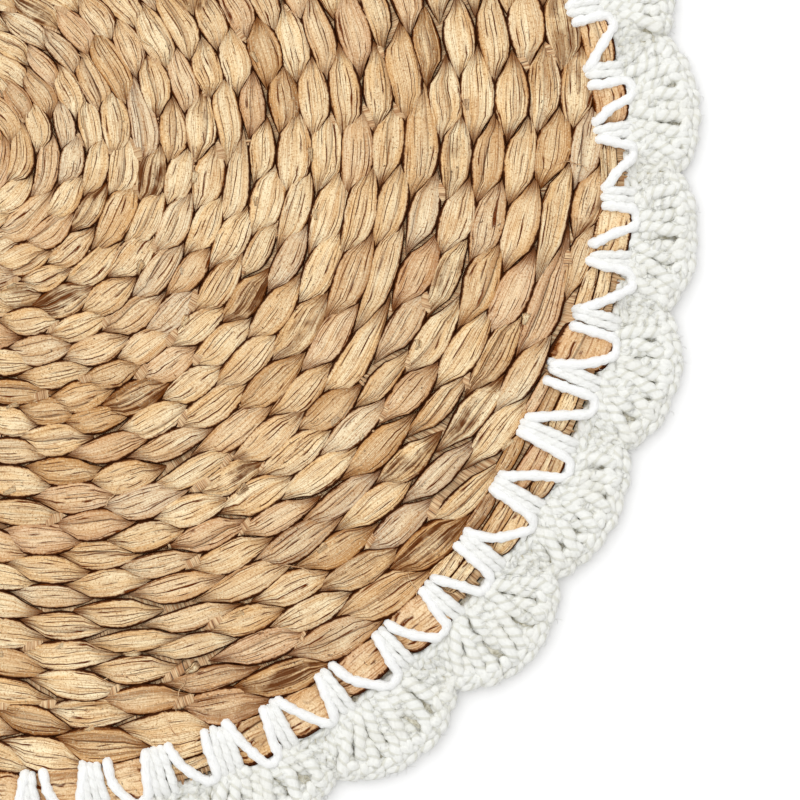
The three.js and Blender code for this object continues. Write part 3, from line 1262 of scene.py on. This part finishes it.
PALE_STEM = linear(254, 236, 196)
STRAW = linear(243, 205, 150)
TAN = linear(202, 150, 92)
BROWN = linear(122, 60, 6)
DARK = linear(56, 19, 0)
GREY_STEM = linear(220, 202, 176)
PINKISH = linear(216, 174, 140)
REDDISH = linear(84, 42, 14)
STAIN_BROWN = linear(92, 44, 8)
TIP_SHADE_BROWN = linear(84, 34, 2)
WARM_EDGE_SHADE = linear(160, 98, 38)
LINE_BROWN = linear(96, 38, 0)
HAIR_BROWN = linear(150, 84, 18)
SPOKE_DARK = linear(176, 124, 76)
SPOKE_PALE = linear(236, 204, 158)
SPOKE_LINE = linear(70, 34, 10)
SPOKE_HAIR = linear(100, 62, 28)
COTTON_WHITE = linear(242, 242, 237)
COTTON_SHADE = linear(225, 224, 213)
COTTON_CLOUD = linear(234, 232, 222)
COTTON_PAINTED_HIGHLIGHT = linear(255, 255, 254)
PAINTED_SHADE_COTTON = linear(178, 171, 148)
PAINTED_SHADE_COTTON_PALE = linear(232, 228, 213)
FLOOR_WHITE = (0.96, 0.96, 0.96, 1)


class Pen:
    """A short hand for placing nodes in one tree."""

    def __init__(self, tree):
        self.tree = tree

    def node(self, kind, **settings):
        made = self.tree.nodes.new(kind)
        for key, value in settings.items():
            setattr(made, key, value)
        return made

    def feed(self, made, key, value):
        if isinstance(value, bpy.types.NodeSocket):
            self.tree.links.new(value, made.inputs[key])
        else:
            made.inputs[key].default_value = value

    def make(self, kind, fed, **settings):
        """The first output of a new node, with its inputs fed by number or name."""
        made = self.node(kind, **settings)
        for key, value in fed.items():
            self.feed(made, key, value)
        return made.outputs[0]

    def read(self, name, output="Fac"):
        return self.node("ShaderNodeAttribute", attribute_name=name).outputs[output]

    def place(self):
        return self.node("ShaderNodeTexCoord").outputs["Object"]

    def math(self, how, *values, clamp=False):
        return self.make("ShaderNodeMath", dict(enumerate(values)), operation=how, use_clamp=clamp)

    def times(self, a, b):
        return self.math("MULTIPLY", a, b)

    def add(self, a, b):
        return self.math("ADD", a, b)

    def less(self, a, b):
        return self.math("SUBTRACT", a, b)

    def join(self, *values):
        return self.make("ShaderNodeCombineXYZ", dict(enumerate(values)))

    def parts(self, vector):
        split = self.node("ShaderNodeSeparateXYZ")
        self.feed(split, 0, vector)
        return split.outputs

    def stretch(self, vector, scale):
        return self.make("ShaderNodeVectorMath", {0: vector, 1: scale}, operation="MULTIPLY")

    def group(self, tree, **fed):
        made = self.node("ShaderNodeGroup", node_tree=tree)
        for key, value in fed.items():
            self.feed(made, key, value)
        return made.outputs

    def noise(self, where, scale, detail=2.0, rough=0.5, warp=0.0):
        fed = {"Vector": where, "Scale": scale, "Detail": detail, "Roughness": rough, "Distortion": warp}
        return self.make("ShaderNodeTexNoise", fed)

    def band(self, value, low, high, out_low=0.0, out_high=1.0, how="SMOOTHSTEP"):
        """Brings a value's range from low to high to the range from out_low to out_high."""
        fed = {"From Min": low, "From Max": high, "To Min": out_low, "To Max": out_high, "Value": value}
        return self.make("ShaderNodeMapRange", fed, interpolation_type=how)

    def mix(self, share, a, b):
        made = self.node("ShaderNodeMix", data_type="RGBA")
        for key, value in ((0, share), (6, a), (7, b)):
            self.feed(made, key, value)
        return made.outputs[2]

    def bump(self, shader, height, strength, distance):
        made = self.node("ShaderNodeBump")
        for key, value in (("Strength", strength), ("Distance", distance), ("Height", height)):
            self.feed(made, key, value)
        self.feed(shader, "Normal", made.outputs[0])


class Coat:
    """A base colour that gets one colour laid over another, each where its own share is high."""

    def __init__(self, pen, colour):
        self.pen = pen
        self.colour = colour

    def lay(self, colour, share, strength=None):
        if strength is not None:
            share = self.pen.times(share, strength)
        self.colour = self.pen.mix(share, self.colour, colour)


def new_material(name, **finish):
    """A material with a Principled shader, whose plain inputs are set from finish."""
    material = bpy.data.materials.new(name)
    material.use_nodes = True
    tree = material.node_tree
    tree.nodes.clear()
    pen = Pen(tree)
    shader = pen.node("ShaderNodeBsdfPrincipled")
    out = pen.node("ShaderNodeOutputMaterial")
    tree.links.new(shader.outputs[0], out.inputs["Surface"])
    for key, value in finish.items():
        shader.inputs[key.replace("_", " ")].default_value = value
    return material, pen, shader


def draw_lines(pen, given, dense, width, low, high):
    """Thin lines along the grain, dense to a unit across it, that wander, start and stop."""
    bent = pen.join(pen.times(given["Across"], 0.45), pen.times(given["Along"], 0.06), given["Seed"])
    sway = pen.times(pen.noise(bent, 1.0, 2.0), 2.2)
    row = pen.add(pen.times(given["Across"], dense), sway)
    number = pen.math("FLOOR", row)
    own = pen.make("ShaderNodeTexWhiteNoise", {"W": pen.add(number, given["Seed"])}, noise_dimensions="1D")
    middle = pen.band(own, 0.0, 1.0, 0.3, 0.7, how="LINEAR")
    off = pen.math("ABSOLUTE", pen.less(pen.less(row, number), middle))
    length = pen.join(pen.times(number, 7.7), pen.times(given["Along"], 0.10), given["Seed"])
    shown = pen.band(pen.noise(length, 1.0, 1.0), low, high)
    return pen.times(pen.band(off, width, 0.35 * width), shown)


def fibre_lines_group():
    """Lines along the grain, as a group: a few long ones and many short fine ones."""
    tree = bpy.data.node_groups.new("fibre_lines", "ShaderNodeTree")
    for name in ("Across", "Along", "Seed"):
        tree.interface.new_socket(name=name, in_out="INPUT", socket_type="NodeSocketFloat")
    for name in ("Lines", "Hairs"):
        tree.interface.new_socket(name=name, in_out="OUTPUT", socket_type="NodeSocketFloat")
    pen = Pen(tree)
    given = pen.node("NodeGroupInput").outputs
    put_out = pen.node("NodeGroupOutput")
    pen.feed(put_out, "Lines", draw_lines(pen, given, 0.85, 0.14, 0.48, 0.58))
    pen.feed(put_out, "Hairs", draw_lines(pen, given, 2.4, 0.26, 0.42, 0.58))
    return tree


def stem_marks(pen):
    """What a stem's colours follow: its leaf's own numbers, and streaks and grain of many scales."""
    fibre = pen.read("fibre", "Vector")
    place = pen.place()
    names = ("across", "along", "tone", "hue", "stain", "lean", "fold", "fold_off")
    marks = SimpleNamespace(fibre=fibre, **{name: pen.read(name) for name in names})
    marks.broad = pen.noise(pen.stretch(fibre, (0.42, 0.06, 1.0)), 1.0, 3.0, 0.55, 0.3)
    marks.streak = pen.noise(pen.stretch(fibre, (1.0, 0.035, 1.0)), 1.0, 3.0, 0.6, 0.12)
    marks.hair = pen.noise(pen.stretch(fibre, (2.6, 0.06, 1.0)), 1.0, 2.0, 0.6, 0.1)
    marks.speck = pen.noise(pen.stretch(fibre, (1.6, 0.9, 1.0)), 1.0, 1.0, 0.5)
    marks.patch = pen.noise(place, 90.0, 3.0, 0.6)
    marks.grain = pen.noise(place, 1900.0, 2.0, 0.8)
    return marks


def stem_skin(pen, marks):
    """The stem's own colour: pale to straw, more tan, brown, grey or pink from leaf to leaf, with a painted
    highlight paling each leaf's middle.
    """
    coat = Coat(pen, pen.mix(pen.band(marks.broad, 0.36, 0.64), STRAW, PALE_STEM))
    coat.lay(TAN, pen.band(marks.tone, -0.2, 2.4, 0.0, 0.75))
    ruddy = pen.band(marks.streak, 0.46, 0.55, 0.0, 0.95)
    coat.lay(REDDISH, pen.times(pen.band(marks.tone, 1.3, 2.6), ruddy))
    coat.lay(GREY_STEM, pen.band(marks.hue, 0.4, 2.0, 0.0, 0.75))
    coat.lay(PINKISH, pen.band(marks.hue, -0.5, -2.0, 0.0, 0.7))
    coat.lay(TAN, pen.band(marks.lean, 0.2, 1.3, 0.0, 0.65))
    streaked = pen.band(marks.streak, 0.42, 0.56, 0.3, 1.0)
    coat.lay(BROWN, pen.times(pen.band(marks.lean, 0.8, 1.7, 0.0, 0.6), streaked))
    # Painted highlight: each leaf's middle is paled, away from its edges and tips.
    painted_belly_highlight = pen.times(pen.band(marks.across, 0.75, 0.1), pen.band(marks.along, 0.8, 0.1))
    coat.lay(PALE_STEM, painted_belly_highlight, 0.45)
    coat.lay(TAN, pen.band(marks.patch, 0.42, 0.66), 0.35)
    coat.lay(TAN, pen.band(marks.streak, 0.50, 0.66), 0.4)
    coat.lay(TAN, pen.band(marks.grain, 0.46, 0.66, 0.0, 0.45))
    coat.lay(BROWN, pen.band(marks.grain, 0.59, 0.69, 0.0, 0.6))
    coat.lay(PALE_STEM, pen.band(marks.grain, 0.44, 0.34, 0.0, 0.5))
    return coat


def lay_fibres(pen, marks, coat, drawn):
    """The dark lines along the stem, its finer threads and its stained streaks."""
    coat.lay(HAIR_BROWN, drawn["Hairs"], 0.6)
    coat.lay(LINE_BROWN, drawn["Lines"])
    coat.lay(BROWN, pen.band(marks.hair, 0.62, 0.70), 0.5)
    coat.lay(PALE_STEM, pen.band(marks.hair, 0.42, 0.32), 0.25)
    stained = pen.times(pen.band(marks.stain, 0.86, 0.97), pen.band(marks.patch, 0.38, 0.6))
    coat.lay(STAIN_BROWN, pen.times(stained, pen.band(marks.streak, 0.43, 0.56, 0.15, 0.95)))


def lay_tip_and_edge_shade(pen, marks, coat):
    """Painted shade: browner tips, where a leaf dips under the next, and a warm band of painted shade along
    its sides.
    """
    # Painted shade: brown tips, and brown streaks near them, where the leaf dips under the next.
    tips = pen.times(pen.band(marks.along, 0.50, 0.92), pen.band(marks.patch, 0.30, 0.60, 0.25, 1.0))
    coat.lay(BROWN, tips, 0.85)
    near_tip_shade = pen.times(pen.band(marks.along, 0.35, 0.85), pen.band(marks.hair, 0.48, 0.58))
    coat.lay(TIP_SHADE_BROWN, near_tip_shade, 0.80)
    # Painted shade: a warm band along the leaf's sides.
    coat.lay(WARM_EDGE_SHADE, pen.band(marks.across, 0.70, 0.86), 0.2)


def lay_folds(pen, marks, coat):
    """Painted shade: a dark line along each fold's crease, and painted shade on one side of it."""
    crease = pen.times(marks.fold, pen.band(pen.math("ABSOLUTE", marks.fold_off), 0.07, 0.01))
    fold_side_shade = pen.times(marks.fold, pen.band(marks.fold_off, 0.45, 0.0))
    coat.lay(BROWN, pen.times(fold_side_shade, pen.band(marks.fold_off, -0.02, 0.02)), 0.45)
    coat.lay(DARK, crease, 0.8)


def lay_edge_shade_and_specks(pen, marks, coat):
    """Painted shade at the uneven edges, where two leaves meet, and dark specks on some leaves."""
    uneven = pen.add(marks.across, pen.times(pen.less(marks.speck, 0.5), 0.16))
    # Painted shade: brown, then dark, along the leaf's edges, where the next leaf meets it. The specks below
    # are the leaf's own.
    coat.lay(BROWN, pen.band(uneven, 0.79, 0.87), 0.7)
    coat.lay(DARK, pen.band(uneven, 0.84, 0.88), 0.95)
    coat.lay(DARK, pen.times(pen.band(marks.speck, 0.68, 0.74), pen.band(marks.stain, 0.45, 0.75)), 0.7)


def stem_material(lines_group):
    """Dried water plant stem: straw with brown lengthwise streaks, darker at its edges, tips and folds with
    painted shade, and paled in each leaf's middle with a painted highlight.
    """
    material, pen, shader = new_material("dried_stem", Roughness=0.8, Specular_IOR_Level=0.04)
    marks = stem_marks(pen)
    across, along, seed = pen.parts(marks.fibre)
    drawn = pen.group(lines_group, Across=across, Along=along, Seed=seed)
    coat = stem_skin(pen, marks)
    lay_fibres(pen, marks, coat, drawn)
    lay_tip_and_edge_shade(pen, marks, coat)
    lay_folds(pen, marks, coat)
    lay_edge_shade_and_specks(pen, marks, coat)
    pen.feed(shader, "Base Color", coat.colour)
    relief = pen.add(pen.times(marks.streak, 0.9), pen.times(marks.hair, 0.5))
    relief = pen.less(relief, pen.times(drawn["Lines"], 0.35))
    relief = pen.less(relief, pen.times(marks.grain, 0.15))
    pen.bump(shader, relief, strength=0.75, distance=0.0008)
    return material


def warp_material(lines_group):
    """The spokes that show between the rows: greyish straw with fine lines running outwards."""
    material, pen, shader = new_material("spoke_straw", Roughness=0.7)
    place = pen.place()
    x, y, _ = pen.parts(place)
    length = pen.node("ShaderNodeVectorMath", operation="LENGTH")
    pen.feed(length, 0, place)
    around = pen.times(pen.math("ARCTAN2", y, x), 230.0)
    outward = pen.times(length.outputs["Value"], 1200.0)
    drawn = pen.group(lines_group, Across=around, Along=outward, Seed=3.0)
    grain = pen.noise(pen.join(around, pen.times(outward, 0.08), 0.0), 1.0, 3.0, 0.6)
    coat = Coat(pen, pen.mix(pen.band(grain, 0.35, 0.65), SPOKE_DARK, SPOKE_PALE))
    coat.lay(SPOKE_LINE, drawn["Lines"], 0.9)
    coat.lay(SPOKE_HAIR, drawn["Hairs"], 0.5)
    pen.feed(shader, "Base Color", coat.colour)
    pen.bump(shader, grain, strength=0.5, distance=0.0006)
    return material


def cotton_material():
    """Matt off-white cotton yarn with fine hairs along its plies, darker between them with painted shade, and
    a painted highlight on the strands that lie on top.
    """
    material, pen, shader = new_material(
        "white_cotton", Roughness=0.92, Specular_IOR_Level=0.2, Sheen_Weight=0.15
    )
    strand = pen.read("strand", "Vector")
    bright = pen.read("bright")
    x, y, run_along = pen.parts(strand)
    twist = pen.times(run_along, TURN / PLY_LENGTH)
    ply = pen.math("COSINE", pen.times(pen.less(pen.math("ARCTAN2", y, x), twist), float(YARN_PLIES)))
    shift = pen.join(0.0, 0.0, pen.read("seed"))
    moved = pen.make(
        "ShaderNodeVectorMath", {0: pen.stretch(strand, (2.8, 2.8, 0.8)), 1: shift}, operation="ADD"
    )
    hairs = pen.noise(moved, 1.0, 4.0, 0.7, 0.8)
    cloud = pen.noise(pen.place(), 120.0, 2.0, 0.5)
    # Painted shade: the grooves between the plies are darkened towards COTTON_SHADE, less so on the strands
    # with a painted highlight.
    groove = pen.math("ADD", pen.band(ply, -1.0, -0.3), pen.times(bright, 0.7), clamp=True)
    coat = Coat(pen, pen.mix(groove, COTTON_SHADE, COTTON_WHITE))
    coat.lay(COTTON_CLOUD, pen.band(cloud, 0.4, 0.7, 0.0, 0.35))
    # Painted highlight: the loops, stitches, knots and hairs that lie highest are paled towards pure white.
    coat.lay(COTTON_PAINTED_HIGHLIGHT, pen.band(bright, 0.0, 1.0, 0.0, 0.8))
    coat.lay(COTTON_SHADE, pen.band(hairs, 0.52, 0.70, 0.0, 0.4))
    pen.feed(shader, "Base Color", coat.colour)
    pen.bump(shader, pen.add(pen.times(groove, 0.4), hairs), strength=0.7, distance=0.0005)
    return material


def cotton_ground_material():
    """The same cotton deep between the strands, where less light comes, coloured darker with painted shade.
    """
    material, pen, shader = new_material("cotton_ground", Roughness=0.95)
    grain = pen.noise(pen.place(), 900.0, 3.0, 0.6)
    pen.feed(shader, "Base Color", pen.mix(pen.band(grain, 0.35, 0.65), PAINTED_SHADE_COTTON, PAINTED_SHADE_COTTON_PALE))
    pen.bump(shader, grain, strength=0.7, distance=0.0005)
    return material


# Making the part.
def finish_piece(piece, material, node):
    piece.data.materials.clear()
    piece.data.materials.append(material)
    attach(piece, "root")
    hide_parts(node)
    return piece


def make_mat():
    rng = np.random.default_rng(MAT_SEED)
    lines_group = fibre_lines_group()
    stem = stem_material(lines_group)
    straw = warp_material(lines_group)
    spots = with_neighbours(warp_crossings(rng))
    stems = weave_pieces(spots, rng)
    strips = border_strips(rng)
    stems += border_pieces(strips, rng)
    stems.append(torn_flaps(spots[1], rng))
    spokes = [spoke_pads(spots, rng), spoke_ends(strips, rng), stray_fibres(rng)]
    for piece in stems:
        finish_piece(piece, stem, "woven_mat")
    for piece in spokes:
        finish_piece(piece, straw, "woven_mat")
    ground = finish_piece(warp_ground(), straw, "woven_mat")
    return ground


def make_edging():
    rng = np.random.default_rng(EDGING_SEED)
    cotton = cotton_material()
    pieces = [crochet_posts(rng), crochet_bars(rng), crochet_rim(rng), crochet_heads(rng)]
    pieces += [crochet_base(rng), crochet_notches(rng)]
    spots = stitch_spots(rng)
    pieces += [crochet_stitches(spots, rng), crochet_loops(spots, rng), crochet_knots(spots, rng)]
    pieces.append(edging_fuzz(rng))
    for piece in pieces:
        finish_piece(piece, cotton, "crochet_edging")
    # The ground stands in for the yarn deep between the strands, and its colour is painted shade.
    base = finish_piece(edging_ground(), cotton_ground_material(), "crochet_edging")


def make_floor():
    mesh = bpy.data.meshes.new("floor")
    shape = bmesh.new()
    bmesh.ops.create_grid(shape, x_segments=1, y_segments=1, size=FLOOR_REACH)
    shape.to_mesh(mesh)
    shape.free()
    floor = bpy.data.objects.new("floor", mesh)
    bpy.context.scene.collection.objects.link(floor)
    mesh.materials.append(new_material("pale_floor", Base_Color=FLOOR_WHITE, Roughness=0.9)[0])


def make_light():
    """An even white surround, and a large soft lamp from the upper left."""
    world = bpy.data.worlds.new("studio")
    bpy.context.scene.world = world
    world.use_nodes = True
    surround = world.node_tree.nodes["Background"]
    surround.inputs["Color"].default_value = (1, 1, 1, 1)
    surround.inputs["Strength"].default_value = SURROUND_STRENGTH
    lamp = bpy.data.lights.new("soft_box", "AREA")
    lamp.shape = "DISK"
    lamp.size = LAMP_WIDTH
    lamp.energy = LAMP_POWER
    soft = bpy.data.objects.new("soft_box", lamp)
    soft.location = LAMP_PLACE
    aim = Vector(LAMP_AIM) - soft.location
    soft.rotation_euler = aim.to_track_quat("-Z", "Y").to_euler()
    bpy.context.scene.collection.objects.link(soft)
    bpy.context.scene.view_settings.view_transform = "Standard"


mat_ground = make_mat()
make_edging()
make_floor()
make_light()
